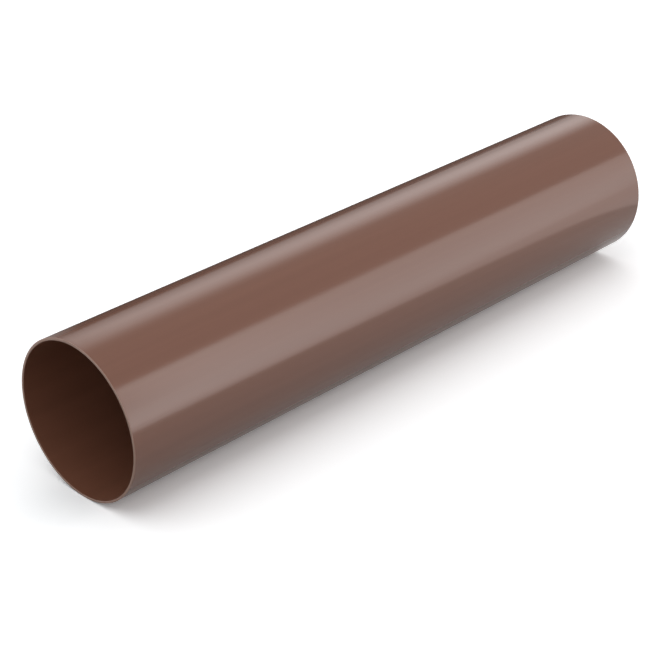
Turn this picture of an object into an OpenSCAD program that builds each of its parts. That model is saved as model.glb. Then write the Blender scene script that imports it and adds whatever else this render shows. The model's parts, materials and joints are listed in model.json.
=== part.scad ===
// Rainwater downpipe: one plain-ended length of round plastic pipe, lying on its side.
// The pipe's axis runs along X with its middle at X = 0, and the pipe rests on Z = 0.
// All sizes are in millimetres.

/* [Pipe] */
// Outside diameter
outside_diameter = 110; // [50:1:200]
// Thickness of the wall
wall = 1.7; // [1.2:0.1:5]
// Length from one cut end to the other
pipe_length = 512; // [150:1:4000]

/* [Cut ends] */
// Bevel that takes the burr off the outside edge of each cut, along the pipe and across the wall
outside_bevel = 0.4; // [0.1:0.05:0.6]
// Bevel that takes the burr off the inside edge of each cut, along the pipe and across the wall
inside_bevel = 0.3; // [0.1:0.05:0.5]

/* [Finish] */
// Colour of the plastic
plastic_colour = "#6E4C3E"; // ["#6E4C3E":Chocolate brown, "#8A8D8F":Grey, "#F2F2EE":White]

/* [Hidden] */
outside_radius = outside_diameter / 2;
inside_radius = outside_radius - wall;
half_length = pipe_length / 2;

// The wall's two corners at one cut end (side = -1 or 1), bevelled, from the inside of the pipe to the outside.
// Each point is [distance from the axis, distance along it].
function cut_end(side) = [
    [inside_radius, side * (half_length - inside_bevel)],
    [inside_radius + inside_bevel, side * half_length],
    [outside_radius - outside_bevel, side * half_length],
    [outside_radius, side * (half_length - outside_bevel)]
];

function reversed(points) = [for (i = [len(points) - 1 : -1 : 0]) points[i]];

// The wall's section: a strip as thin as the wall and as long as the pipe, with its four corners bevelled.
module wall_section() {
    polygon(concat(cut_end(-1), reversed(cut_end(1))));
}

// The whole pipe is extruded in one piece, so it is one solid: the section turned about the pipe's axis.
module pipe() {
    color(plastic_colour)
        translate([0, 0, outside_radius])
            rotate([0, 90, 0])
                rotate_extrude($fn = 180)
                    wall_section();
}

pipe();
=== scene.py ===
# %% [markdown]
# # A rainwater downpipe
# This lesson makes one plain length of round plastic downpipe, the tube that carries rainwater from a
# gutter to the ground. It lies on its side on a white studio floor.
# The construction model is loaded first, as a fixed frame: every size below is read from it, in metres.

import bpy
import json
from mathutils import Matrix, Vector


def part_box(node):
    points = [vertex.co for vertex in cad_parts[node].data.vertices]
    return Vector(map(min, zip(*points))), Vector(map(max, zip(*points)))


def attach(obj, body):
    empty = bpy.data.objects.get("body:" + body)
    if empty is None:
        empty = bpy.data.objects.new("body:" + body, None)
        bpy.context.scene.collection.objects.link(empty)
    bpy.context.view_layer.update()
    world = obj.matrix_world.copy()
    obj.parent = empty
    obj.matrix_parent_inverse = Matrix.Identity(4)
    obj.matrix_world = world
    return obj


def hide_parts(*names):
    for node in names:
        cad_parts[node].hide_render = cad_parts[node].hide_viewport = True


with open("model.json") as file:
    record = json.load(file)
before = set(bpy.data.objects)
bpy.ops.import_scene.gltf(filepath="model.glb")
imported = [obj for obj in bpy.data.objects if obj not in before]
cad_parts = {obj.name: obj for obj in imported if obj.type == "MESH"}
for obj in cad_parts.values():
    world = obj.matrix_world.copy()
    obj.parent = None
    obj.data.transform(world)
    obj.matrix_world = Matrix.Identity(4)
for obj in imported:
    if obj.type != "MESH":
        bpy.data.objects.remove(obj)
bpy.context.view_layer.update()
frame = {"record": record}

# %% [markdown]
# ## The sizes of the pipe
# A pipe is settled by three numbers: its outside radius, its bore and its length. The first and the last
# are the sides of the frame's box. The bore is a mount in the record, because fittings slide into it.

# %% Read the sizes
import json
import math

import bpy
import numpy as np
from mathutils import Matrix, Vector

MM = 0.001
low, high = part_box("pipe")
outside_radius = (high.z - low.z) / 2
half_length = (high.x - low.x) / 2
axis_height = (high.z + low.z) / 2
mounts = {mount["name"]: mount for mount in frame["record"]["mounts"]}
bore_radius = mounts["bore"]["dims"]["r_mm"] * MM
wall = outside_radius - bore_radius
print(f"outside radius {outside_radius:.4f}, wall {wall:.4f}, length {2 * half_length:.3f} m")

# %% [markdown]
# ## The outline of the wall
# Cut a real pipe lengthwise and each side of the cut is a long thin strip: the wall. The strip's four
# corners are not sharp, because the saw's burr is scraped off, and a rounded corner is what catches a thin
# line of light round the rim. The outline could be drawn by hand, but every stretch of it follows a rule,
# so it is computed. It is one closed loop of points, each with its distance along the axis and its distance
# from it: the outside from left to right, the right end, the inside from right to left, and the left end.
# Smooth shading blends the facing of neighbouring faces, and that would smear a rounded corner far along
# the straight wall. A guard point close to each end of a straight keeps the blend inside a tenth of a
# millimetre.

# %% Compute the outline
ROWS = 64
CORNER_STEPS = 6
OUTER_ARRIS = 0.40 * MM
INNER_ARRIS = 0.30 * MM
GUARD = 0.10 * MM
SKIN, BORE, CUT = range(3)


def straight(start, end, steps):
    """Points at start + (end - start) * t. t runs from 0 to 1 without 1, with a guard close to each end."""
    start, end = np.array(start), np.array(end)
    guard = GUARD / np.linalg.norm(end - start)
    t = np.concatenate([[0], np.linspace(guard, 1 - guard, steps)])[:, None]
    return start + (end - start) * t


def corner(centre, radius, angle, steps):
    """A quarter circle, clockwise from angle: centre + radius * (cos, sin) of it, without its last point."""
    a = angle - np.linspace(0, math.pi / 2, steps, endpoint=False)
    return np.array(centre) + radius * np.stack([np.cos(a), np.sin(a)], axis=1)


def wall_outline():
    """The outline as (points, finish of the stretch after each): four straights joined by four corners."""
    left, right = -half_length, half_length
    out, bore = outside_radius, bore_radius
    a, b = OUTER_ARRIS, INNER_ARRIS
    quarter = math.pi / 2
    stretches = [
        (straight((left + a, out), (right - a, out), ROWS), SKIN),
        (corner((right - a, out - a), a, quarter, CORNER_STEPS), CUT),
        (straight((right, out - a), (right, bore + b), 4), CUT),
        (corner((right - b, bore + b), b, 0, CORNER_STEPS), CUT),
        (straight((right - b, bore), (left + b, bore), ROWS), BORE),
        (corner((left + b, bore + b), b, -quarter, CORNER_STEPS), CUT),
        (straight((left, bore + b), (left, out - a), 4), CUT),
        (corner((left + a, out - a), a, -2 * quarter, CORNER_STEPS), CUT),
    ]
    points = np.concatenate([stretch for stretch, finish in stretches])
    finishes = np.concatenate([np.full(len(stretch), finish) for stretch, finish in stretches])
    return points, finishes


outline, finishes = wall_outline()
print("outline of", len(outline), "points")

# %% [markdown]
# ## Carry the outline round the axis
# The machine that makes the pipe squeezes soft plastic through a ring, so the pipe is its outline carried
# round an axis. Blender's Screw modifier could do that, but here the surface is written as a formula of two
# numbers: the place along the outline and the angle round the axis. Both close on themselves, so the grid
# has no seam and no pole.
# A formula can also hold what the machine does wrong. The cooling sleeve leaves shallow flats that run the
# whole length, a few hundredths of a millimetre deep. The core of the ring is never quite central, so the
# wall comes out a little thicker on one side. Nobody sees these as shapes, but they make a long reflection
# and a thin rim look like a real pipe's.

# %% Compute the surface
AROUND = 288
BOTTOM = 3 * AROUND // 4
SLEEVE_DEPTH = 0.010 * MM
OFF_CENTRE = 0.15 * MM
OFF_CENTRE_ANGLE = math.radians(208)


def sleeve_marks(angle):
    """How far the skin dips at each angle: a sum of cosines of 5 to 36 lobes, each with its own phase.
    It is counted from the line that the pipe lies on, which stays where the frame has it."""
    draw = np.random.default_rng(11)
    lobes = np.arange(5, 37)[:, None]
    phase = draw.uniform(0, 2 * math.pi, lobes.shape)
    waves = (np.cos(lobes * angle + phase) / np.sqrt(lobes)).sum(axis=0)
    return SLEEVE_DEPTH * (waves - waves[BOTTOM])


def pipe_surface(outline):
    """Point (i, j) is outline point i turned by angle j: (x, r * cos, r * sin), raised to the axis.
    The outside's r loses the sleeve's marks, and the bore's r gains or loses as its centre is shifted."""
    angle = np.linspace(0, 2 * math.pi, AROUND, endpoint=False)
    x, r = outline[:, 0, None], outline[:, 1, None]
    skin_share = (r - bore_radius) / wall
    r = r - skin_share * sleeve_marks(angle)
    r = r + (1 - skin_share) * OFF_CENTRE * np.cos(angle - OFF_CENTRE_ANGLE)
    y = r * np.cos(angle)
    z = r * np.sin(angle) + axis_height
    return np.stack([np.broadcast_to(x, y.shape), y, z], axis=2)


surface = pipe_surface(outline)
widest = np.hypot(surface[..., 1], surface[..., 2] - axis_height).max()
print("grid", surface.shape[:2], f"lowest point {surface[..., 2].min():.6f}, largest radius {widest:.6f}")

# %% [markdown]
# ## Turn the grid into a mesh
# A grid of points needs faces. Each face joins a point, the next one along the outline and the same two at
# the next angle. foreach_set puts whole arrays into the mesh at once, with no loop over points.

# %% Build the mesh


def closed_grid_mesh(name, grid, row_materials):
    """A mesh of quads over a grid that closes both ways. Quad (i, j) joins rows i and i + 1 at columns j and
    j + 1, and the last row or column is joined to the first."""
    rows, columns = grid.shape[:2]
    index = np.arange(rows * columns).reshape(rows, columns)
    next_row = np.roll(index, -1, axis=0)
    next_column = np.roll(index, -1, axis=1)
    both = np.roll(next_row, -1, axis=1)
    quads = np.stack([index, next_column, both, next_row], axis=2).reshape(-1, 4)
    mesh = bpy.data.meshes.new(name)
    mesh.vertices.add(rows * columns)
    mesh.vertices.foreach_set("co", grid.reshape(-1).astype(np.float32))
    mesh.loops.add(quads.size)
    mesh.loops.foreach_set("vertex_index", quads.reshape(-1).astype(np.int32))
    mesh.polygons.add(len(quads))
    mesh.polygons.foreach_set("loop_start", np.arange(0, quads.size, 4, dtype=np.int32))
    mesh.polygons.foreach_set("material_index", np.repeat(row_materials, columns).astype(np.int32))
    mesh.update(calc_edges=True)
    mesh.validate()
    mesh.shade_smooth()
    return mesh


pipe = bpy.data.objects.new("plastic_pipe", closed_grid_mesh("plastic_pipe", surface, finishes))
bpy.context.scene.collection.objects.link(pipe)
first = pipe.data.polygons[0]
print(len(pipe.data.polygons), "quads; the first faces", [round(v, 2) for v in first.normal])

# %% [markdown]
# ## Patterns that run down the pipe
# Everything that marks an extruded pipe is drawn out along it: streaks of colour, lines from the ring's
# steel, rub marks from the sleeve. One noise does for all of them when its grains are made long down the
# pipe and narrow across it, which is what the Mapping node's scale is for. The patterns read Object
# coordinates, in metres, so a grain's size is its real size.

# %% Helpers for patterns


def grains(tree, length, width, detail=2.0):
    """Noise from 0 to 1 in grains of length down the pipe and width across it."""
    coordinates = tree.nodes.new("ShaderNodeTexCoord")
    mapping = tree.nodes.new("ShaderNodeMapping")
    mapping.inputs["Scale"].default_value = (1 / length, 1 / width, 1 / width)
    noise = tree.nodes.new("ShaderNodeTexNoise")
    noise.inputs["Scale"].default_value = 1
    noise.inputs["Detail"].default_value = detail
    tree.links.new(coordinates.outputs["Object"], mapping.inputs["Vector"])
    tree.links.new(mapping.outputs["Vector"], noise.inputs["Vector"])
    return noise.outputs["Fac"]


def stretch(tree, value, start, end, least, most, curve="LINEAR"):
    """A value that goes from least to most as the one given goes from start to end, and stops there."""
    node = tree.nodes.new("ShaderNodeMapRange")
    node.interpolation_type = curve
    for socket, number in zip(("From Min", "From Max", "To Min", "To Max"), (start, end, least, most)):
        node.inputs[socket].default_value = number
    tree.links.new(value, node.inputs["Value"])
    return node.outputs["Result"]


def between(tree, pattern, least, most):
    """Stretch a pattern so that its usual span, 0.3 to 0.7, runs from least to most."""
    return stretch(tree, pattern, 0.3, 0.7, least, most)


def two_shades(tree, pattern, dark, light):
    """The colour that goes from dark to light as the pattern's usual span goes from least to most."""
    mix = tree.nodes.new("ShaderNodeMix")
    mix.data_type = "RGBA"
    mix.inputs["A"].default_value = (*dark, 1)
    mix.inputs["B"].default_value = (*light, 1)
    tree.links.new(between(tree, pattern, 0, 1), mix.inputs["Factor"])
    return mix.outputs["Result"]


def relief(tree, pattern, depth, under=None):
    """Bump of a pattern, depth in metres from its lowest to its highest, laid over the bump under it."""
    bump = tree.nodes.new("ShaderNodeBump")
    bump.inputs["Distance"].default_value = depth
    tree.links.new(pattern, bump.inputs["Height"])
    if under is not None:
        tree.links.new(under, bump.inputs["Normal"])
    return bump.outputs["Normal"]


print("helpers: grains, stretch, between, two_shades, relief")

# %% [markdown]
# ## One plastic, three finishes
# The whole pipe is one brown, unplasticised PVC, coloured right through. What differs is how each surface
# was made: the outside slid through a polished sleeve, the inside cooled in air, and the ends were sawn.
# All three share a start: the plastic's colour and its refractive index of about 1.5.

# %% The plastic
BROWN = (0.184, 0.085, 0.058)
REFRACTION = 1.5


def shade_of(colour, share):
    """The same colour, brighter or darker by a share."""
    return tuple(channel * share for channel in colour)


def start_plastic(name):
    """A material with a Principled shader of the plastic's refractive index. Gives back the three."""
    material = bpy.data.materials.new(name)
    material.use_nodes = True
    shader = material.node_tree.nodes["Principled BSDF"]
    shader.inputs["IOR"].default_value = REFRACTION
    return material, material.node_tree, shader


print("brown of the plastic", BROWN)

# %% [markdown]
# ## The outside skin
# The sleeve leaves the outside smooth, with a satin gloss that blurs a lamp a little. A perfectly even
# gloss looks like glass, so the roughness drifts in long streaks. Three bumps give it life: bands about a
# centimetre wide, hair-fine draw lines, and a faint orange peel, all only a few thousandths of a millimetre
# deep. The colour barely changes, because the pigment is well mixed: long faint streaks are enough.

# %% Finish of the outside


def extruded_skin():
    """Satin brown: streaked colour and roughness, over draw bands, draw lines and a faint orange peel."""
    material, tree, shader = start_plastic("extruded_skin")
    links = tree.links
    streaks = grains(tree, 300 * MM, 5 * MM, 4)
    brown = two_shades(tree, streaks, shade_of(BROWN, 0.97), shade_of(BROWN, 1.03))
    links.new(brown, shader.inputs["Base Color"])
    rubbed = grains(tree, 180 * MM, 7 * MM, 3)
    links.new(between(tree, rubbed, 0.155, 0.185), shader.inputs["Roughness"])
    bands = relief(tree, grains(tree, 600 * MM, 11 * MM), 0.006 * MM)
    lines = relief(tree, grains(tree, 250 * MM, 1.1 * MM), 0.0012 * MM, bands)
    peel = relief(tree, grains(tree, 7 * MM, 4 * MM), 0.0015 * MM, lines)
    links.new(peel, shader.inputs["Normal"])
    return material


pipe.data.materials.append(extruded_skin())
print("outside", pipe.data.materials[SKIN].name)

# %% [markdown]
# ## The wall of the bore
# Nothing polishes the inside. It cools against air, so it is duller, and the lines that the ring drew stay
# deeper. Light reaches it only through the open ends. Its colour is set a little darker and redder than the
# skin's, though it is the same plastic: that is painted shade inside the bore.

# %% Finish of the bore
# Darker and redder than BROWN, though it is the same plastic: painted shade inside the bore.
BORE_BROWN_WITH_PAINTED_SHADE = (0.172, 0.068, 0.039)


def bore_wall():
    """Dull brown, darkened by painted shade, with coarser draw lines and a slow ripple."""
    material, tree, shader = start_plastic("bore_wall")
    links = tree.links
    streaks = grains(tree, 200 * MM, 6 * MM, 4)
    brown = two_shades(tree, streaks, shade_of(BORE_BROWN_WITH_PAINTED_SHADE, 0.95), shade_of(BORE_BROWN_WITH_PAINTED_SHADE, 1.03))
    links.new(brown, shader.inputs["Base Color"])
    links.new(between(tree, streaks, 0.41, 0.45), shader.inputs["Roughness"])
    ripple = relief(tree, grains(tree, 60 * MM, 16 * MM), 0.012 * MM)
    lines = relief(tree, grains(tree, 200 * MM, 1.4 * MM), 0.003 * MM, ripple)
    links.new(lines, shader.inputs["Normal"])
    return material


pipe.data.materials.append(bore_wall())
print("bore", pipe.data.materials[BORE].name)

# %% [markdown]
# ## The sawn ends
# A saw tears plastic as well as cutting it. The torn face scatters light, so it looks paler and duller than
# the skin, and the teeth leave close parallel lines straight across the ring. A Wave texture draws such
# lines, and its distortion keeps them from being ruled. The brown is paler still than the torn face alone
# would make it: part of that is a painted highlight, so that the thin rim looks lit.

# %% Finish of the sawn ends
# Paler than the skin: partly the torn face's own paleness, partly a painted highlight on the rim.
SAWN_BROWN_WITH_PAINTED_HIGHLIGHT = (0.295, 0.180, 0.138)
TOOTH_PITCH = 0.9 * MM
WAVES_PER_UNIT = 20 / (2 * math.pi)


def saw_lines(tree):
    """Parallel lines one tooth pitch apart across the height of the ring, from 0 to 1, slightly wandering."""
    coordinates = tree.nodes.new("ShaderNodeTexCoord")
    wave = tree.nodes.new("ShaderNodeTexWave")
    wave.bands_direction = "Z"
    wave.inputs["Scale"].default_value = 1 / TOOTH_PITCH / WAVES_PER_UNIT
    wave.inputs["Distortion"].default_value = 3
    wave.inputs["Detail"].default_value = 3
    tree.links.new(coordinates.outputs["Object"], wave.inputs["Vector"])
    return wave.outputs["Fac"]


def sawn_end():
    """Pale dull brown, partly a painted highlight, with torn specks in its colour, gloss and bump, and saw
    lines over them.
    """
    material, tree, shader = start_plastic("sawn_end")
    links = tree.links
    specks = grains(tree, 0.5 * MM, 0.5 * MM, 4)
    brown = two_shades(tree, specks, shade_of(SAWN_BROWN_WITH_PAINTED_HIGHLIGHT, 0.9), shade_of(SAWN_BROWN_WITH_PAINTED_HIGHLIGHT, 1.1))
    links.new(brown, shader.inputs["Base Color"])
    links.new(between(tree, specks, 0.45, 0.60), shader.inputs["Roughness"])
    torn = relief(tree, specks, 0.030 * MM)
    links.new(relief(tree, saw_lines(tree), 0.020 * MM, torn), shader.inputs["Normal"])
    return material


pipe.data.materials.append(sawn_end())
print("ends", pipe.data.materials[CUT].name)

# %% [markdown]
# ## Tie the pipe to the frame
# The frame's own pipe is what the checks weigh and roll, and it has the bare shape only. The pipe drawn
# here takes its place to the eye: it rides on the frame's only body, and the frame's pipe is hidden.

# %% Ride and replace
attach(pipe, "root")
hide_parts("pipe")
print(pipe.name, "rides on root in place of pipe")

# %% [markdown]
# ## The floor
# A white studio floor has to be so white that it shows no edge, and still keep the soft shadow that grounds
# the pipe. Lighting it until it turns white would burn out the pipe as well. So the floor is one matt sheet
# whose colour depends on who looks. The camera sees a colour above white, which hides the floor's own
# shading and leaves the shadow. Gloss and glass see a colour just under white. All other light meets near
# black, so that the floor throws little up at the pipe's underside, which has to stay dark.
# The sheet is no larger than the lamps keep it white, and past its edge the camera sees the room's own
# white.

# %% Floor
FLOOR_SIZE = 3.0
FLOOR_SEEN = (1.30, 1.32, 1.335)
FLOOR_MIRRORED = (0.90, 0.90, 0.90)
FLOOR_GREY = (0.03, 0.03, 0.03)


def sheet(name, corners, faces=((0, 1, 2, 3),)):
    """Flat faces over a few corners, named and linked."""
    mesh = bpy.data.meshes.new(name)
    mesh.from_pydata(corners, [], faces)
    piece = bpy.data.objects.new(name, mesh)
    bpy.context.scene.collection.objects.link(piece)
    return piece


def white_floor():
    """A matt material: FLOOR_GREY, with another colour laid over it for each kind of ray that is listed."""
    material = bpy.data.materials.new("white_floor")
    material.use_nodes = True
    nodes, links = material.node_tree.nodes, material.node_tree.links
    nodes.remove(nodes["Principled BSDF"])
    ray = nodes.new("ShaderNodeLightPath")
    shown = None
    for kind, colour in (
        ("Is Glossy Ray", FLOOR_MIRRORED),
        ("Is Transmission Ray", FLOOR_MIRRORED),
        ("Is Camera Ray", FLOOR_SEEN),
    ):
        lay = nodes.new("ShaderNodeMix")
        lay.data_type = "RGBA"
        lay.inputs["A"].default_value = (*FLOOR_GREY, 1)
        lay.inputs["B"].default_value = (*colour, 1)
        links.new(ray.outputs[kind], lay.inputs["Factor"])
        if shown is not None:
            links.new(shown, lay.inputs["A"])
        shown = lay.outputs["Result"]
    matt = nodes.new("ShaderNodeBsdfDiffuse")
    links.new(shown, matt.inputs["Color"])
    links.new(matt.outputs["BSDF"], nodes["Material Output"].inputs["Surface"])
    return material


half = FLOOR_SIZE / 2
floor = sheet("floor", [(-half, -half, 0), (half, -half, 0), (half, half, 0), (-half, half, 0)])
floor.data.materials.append(white_floor())
print("floor", FLOOR_SIZE, "m across, seen as", FLOOR_SEEN)

# %% [markdown]
# ## The softboxes
# A glossy cylinder shows its lamps as long stripes, so each stripe asks for a lamp. For a stripe to run
# true down the pipe, its softbox hangs parallel to it and faces it. So a lamp is placed by its angle round
# the pipe, counted from the rear horizon over the top to the front, and by its distance from the pipe's
# axis. Brightness is what a mirror would show, where 1 is white: an area lamp's power is that times pi
# times its area. Real softboxes are seldom even, and a colour ramp laid across the box gives it a hot side
# or soft rims.

# %% Helpers for lamps


def lamp_panel(name, length, height, brightness, warmth=0):
    """A rectangular lamp that the camera doesn't see. Its power is brightness times pi times its area.
    warmth takes that share of green and a third more of blue away."""
    light = bpy.data.lights.new(name, "AREA")
    light.shape = "RECTANGLE"
    light.size, light.size_y = length, height
    light.energy = brightness * math.pi * length * height
    light.color = (1, 1 - warmth, 1 - 1.3 * warmth)
    lamp = bpy.data.objects.new(name, light)
    lamp.visible_camera = False
    bpy.context.scene.collection.objects.link(lamp)
    return lamp


def hang_along(lamp, angle, distance, middle, roll=0):
    """Hang a lamp parallel to the pipe and facing its axis, with its middle at middle along the pipe.
    angle and roll are in degrees, and roll lifts its right end."""
    outward = Vector((0, math.cos(math.radians(angle)), math.sin(math.radians(angle))))
    along = Vector((1, 0, 0))
    lamp.location = Vector((middle, 0, axis_height)) + distance * outward
    facing = Matrix((along, outward.cross(along), outward)).transposed()
    lamp.rotation_euler = (facing @ Matrix.Rotation(math.radians(roll), 3, "Z")).to_euler()


def grade(lamp, axis, levels):
    """Vary a lamp across itself. levels lists (place, level), with place from 0 to 1 along its own X or Y."""
    lamp.data.use_nodes = True
    nodes, links = lamp.data.node_tree.nodes, lamp.data.node_tree.links
    place = nodes.new("ShaderNodeNewGeometry")
    split = nodes.new("ShaderNodeSeparateXYZ")
    ramp = nodes.new("ShaderNodeValToRGB")
    ramp.color_ramp.interpolation = "EASE"
    ramp.color_ramp.elements.remove(ramp.color_ramp.elements[1])
    for count, (position, level) in enumerate(levels):
        stop = ramp.color_ramp.elements[0] if count == 0 else ramp.color_ramp.elements.new(position)
        stop.position = position
        stop.color = (level, level, level, 1)
    links.new(place.outputs["Parametric"], split.inputs["Vector"])
    links.new(split.outputs[axis], ramp.inputs["Fac"])
    links.new(ramp.outputs["Color"], nodes["Emission"].inputs["Strength"])


print("helpers: lamp_panel, hang_along, grade")

# %% [markdown]
# ## Two stripes and a soft top
# The front softbox is large and brightest at its left, and gives the broad stripe down the pipe's front. The
# rear one fades towards its long edges, so its stripe, near the top of the pipe, has soft sides. Both sit to
# the right, because that is where the skin mirrors them to a camera at the left. The third hangs over the
# pipe and reaches far to its left, where the skin can't mirror it. It gives the body of the pipe its shade.
# It reaches past both ends and leans to the rear, so the pipe's shadow falls to the front and stays short at
# the ends.

# %% Softboxes
front = lamp_panel("front_softbox", length=2.04, height=2.0, brightness=3.35, warmth=0.072)
hang_along(front, angle=156.6, distance=2.0, middle=1.93, roll=-5)
grade(front, "X", [(0, 1), (0.42, 0.6), (1, 0.5)])
rear = lamp_panel("rear_softbox", length=1.55, height=1.5, brightness=1.55, warmth=0.05)
hang_along(rear, angle=40.5, distance=1.5, middle=1.40, roll=2)
grade(rear, "Y", [(0, 0), (0.5, 1), (1, 0)])
top = lamp_panel("top_softbox", length=3.1, height=3.0, brightness=0.95)
hang_along(top, angle=79, distance=1.9, middle=-0.93)
grade(top, "X", [(0, 1), (1, 0.74)])
print("softboxes", [lamp.name for lamp in (front, rear, top)])

# %% [markdown]
# ## The lamp that looks into the bore
# A tube is dark inside unless something shines in at its end. A large dim softbox stands low at the left
# and looks into the open end, so that the far wall of the bore shows as deep brown and not as a black hole.
# It stands to the left, where the skin can't mirror it.

# %% Lamp at the open end
end = lamp_panel("end_softbox", length=1.4, height=1.0, brightness=0.7)
end.location = (-1.7, -1.3, 0.30)
to_pipe = Vector((0, 0, axis_height)) - end.location
end.rotation_euler = to_pipe.to_track_quat("-Z", "Y").to_euler()
print(f"end softbox {to_pipe.length:.2f} m from the middle of the pipe")

# %% [markdown]
# ## A lit sheet on the floor
# The front stripe runs on below the horizon, where a hanging lamp can't be: its lower edge is crisp, and it
# widens towards the far end. A studio lays a lit sheet on the floor for that. The sheet's edge slants towards
# the pipe, and turns in to it past the far end, and the stripe's lower edge does the same. Here the sheet is
# made of a few flat faces that glow, brightest at the left and weakest close to the pipe. Only the gloss sees
# it. The camera would see a bright patch, and as a light it would undo the shadow, so its other ray switches
# are off.

# %% Glowing sheet
SHEET_HEIGHT = 2 * MM
SHEET_TINT = (1, 0.93, 0.91)
SHEET_CORNERS = [
    # (x, y, glow), from the left corner by the pipe round to the turned-in edge
    (-0.16, -0.72, 3.7),
    (0.30, -1.50, 3.7),
    (2.20, -1.50, 2.1),
    (0.45, -0.08, 1.5),
    (0.345, -0.19, 1.88),
    (0.34, -0.07, 1.3),
]
SHEET_FACES = [(0, 1, 2), (0, 2, 4), (4, 2, 3), (4, 3, 5)]


def only_mirrored(piece):
    """Let gloss see a sheet and nothing else: it is stage, and casts neither light nor shadow."""
    piece.visible_camera = False
    piece.visible_diffuse = False
    piece.visible_transmission = False
    piece.visible_shadow = False


def glow(piece, levels, tint):
    """Make a sheet shine in tint. levels gives each corner its brightness, which runs evenly between them."""
    stored = piece.data.attributes.new("glow", "FLOAT", "POINT")
    stored.data.foreach_set("value", levels)
    material = bpy.data.materials.new(piece.name)
    material.use_nodes = True
    nodes, links = material.node_tree.nodes, material.node_tree.links
    nodes.remove(nodes["Principled BSDF"])
    level = nodes.new("ShaderNodeAttribute")
    level.attribute_name = "glow"
    emission = nodes.new("ShaderNodeEmission")
    emission.inputs["Color"].default_value = (*tint, 1)
    links.new(level.outputs["Fac"], emission.inputs["Strength"])
    links.new(emission.outputs["Emission"], nodes["Material Output"].inputs["Surface"])
    piece.data.materials.append(material)


lit_sheet = sheet("lit_sheet", [(x, y, SHEET_HEIGHT) for x, y, level in SHEET_CORNERS], SHEET_FACES)
glow(lit_sheet, [level for x, y, level in SHEET_CORNERS], SHEET_TINT)
only_mirrored(lit_sheet)
print("lit sheet", [round(side, 2) for side in lit_sheet.dimensions])

# %% [markdown]
# ## A card for the top edge
# A pipe's edge against a white ground would melt into it. A studio stands a strip of black card behind such
# an edge: the skin mirrors it at a glancing angle, and draws the edge with a dark line. The strip is lower at
# its right, because the camera looks at that end more along the pipe.
# The rounded corner of the open end mirrors the same card, and it should catch light instead. So the card is
# faded from black to white, to the left of where the skin stops mirroring it. It glows, like the sheet on the
# floor, because a glow's level can be set corner by corner, and only the gloss sees it.

# %% Card behind the pipe
CARD_BEHIND = 0.20
CARD_LEFT_HEIGHT = 0.171
CARD_RIGHT_HEIGHT = 0.117
CARD_STOPS = [(-1.2, 2.2), (-0.32, 2.2), (-0.12, 0.045), (1.2, 0.11)]
places = [x for x, level in CARD_STOPS]
levels = [level for x, level in CARD_STOPS]
heights = np.interp(places, [places[0], places[-1]], [CARD_LEFT_HEIGHT, CARD_RIGHT_HEIGHT])
foot = [(x, CARD_BEHIND, 0) for x in places]
head = [(x, CARD_BEHIND, z) for x, z in zip(places, heights)]
stops = len(CARD_STOPS)
strips = [(i, i + 1, stops + i + 1, stops + i) for i in range(stops - 1)]
card = sheet("edge_card", foot + head, strips)
glow(card, levels + levels, (1, 1, 1))
only_mirrored(card)
print("edge card", [round(side, 2) for side in card.dimensions])

# %% [markdown]
# ## The room
# The rest of the light comes from the room: pale walls and a darker ceiling, which give the skin its even
# gloss between the stripes. A world shader does for a room that is never seen. Its brightness falls from
# the horizon to the ceiling, and from the wall behind the camera to the wall opposite, so that the top edge
# of the pipe, which mirrors the wall opposite, stays dark. To the camera the room is plain white.

# %% Room
HORIZON = 1.0
CEILING = 0.565
CEILING_STARTS = 0.5
WALL_BEHIND_CAMERA = 1.12
WALL_OPPOSITE = 0.70
WHITE = 1.0
world = bpy.data.worlds.new("studio")
world.use_nodes = True
room = world.node_tree
direction = room.nodes.new("ShaderNodeTexCoord")
split = room.nodes.new("ShaderNodeSeparateXYZ")
room.links.new(direction.outputs["Generated"], split.inputs["Vector"])
climb = stretch(room, split.outputs["Z"], 0, CEILING_STARTS, HORIZON, CEILING, "SMOOTHSTEP")
depth = stretch(room, split.outputs["Y"], -1, 1, WALL_BEHIND_CAMERA, WALL_OPPOSITE)
lit = room.nodes.new("ShaderNodeMath")
lit.operation = "MULTIPLY"
room.links.new(climb, lit.inputs[0])
room.links.new(depth, lit.inputs[1])
ray = room.nodes.new("ShaderNodeLightPath")
seen = room.nodes.new("ShaderNodeMix")
seen.inputs["B"].default_value = WHITE
room.links.new(lit.outputs["Value"], seen.inputs["A"])
room.links.new(ray.outputs["Is Camera Ray"], seen.inputs["Factor"])
background = room.nodes["Background"]
background.inputs["Color"].default_value = (1, 1, 1, 1)
room.links.new(seen.outputs["Result"], background.inputs["Strength"])
bpy.context.scene.world = world
print("room: horizon", HORIZON, "ceiling", CEILING, "walls", WALL_BEHIND_CAMERA, "and", WALL_OPPOSITE)

# %% [markdown]
# ## The camera
# A catalogue shows a pipe from above its open end, with a long lens, so that its sides run together only a
# little and both its length and its bore can be read. The camera is aimed at a point close to the middle of
# the pipe instead of being turned by hand. The Standard view leaves a colour as it was written.

# %% Camera
LENS = 97.05
camera_data = bpy.data.cameras.new("camera")
camera_data.lens = LENS
camera = bpy.data.objects.new("camera", camera_data)
camera.location = (-0.8254, -0.7698, 0.6285)
aim = Vector((-0.0638, -0.0332, 0.0550))
camera.rotation_euler = (aim - camera.location).to_track_quat("-Z", "Y").to_euler()
bpy.context.scene.collection.objects.link(camera)
bpy.context.scene.camera = camera
bpy.context.scene.view_settings.view_transform = "Standard"
print(f"camera {(aim - camera.location).length:.2f} m from the point it looks at, lens {LENS} mm")
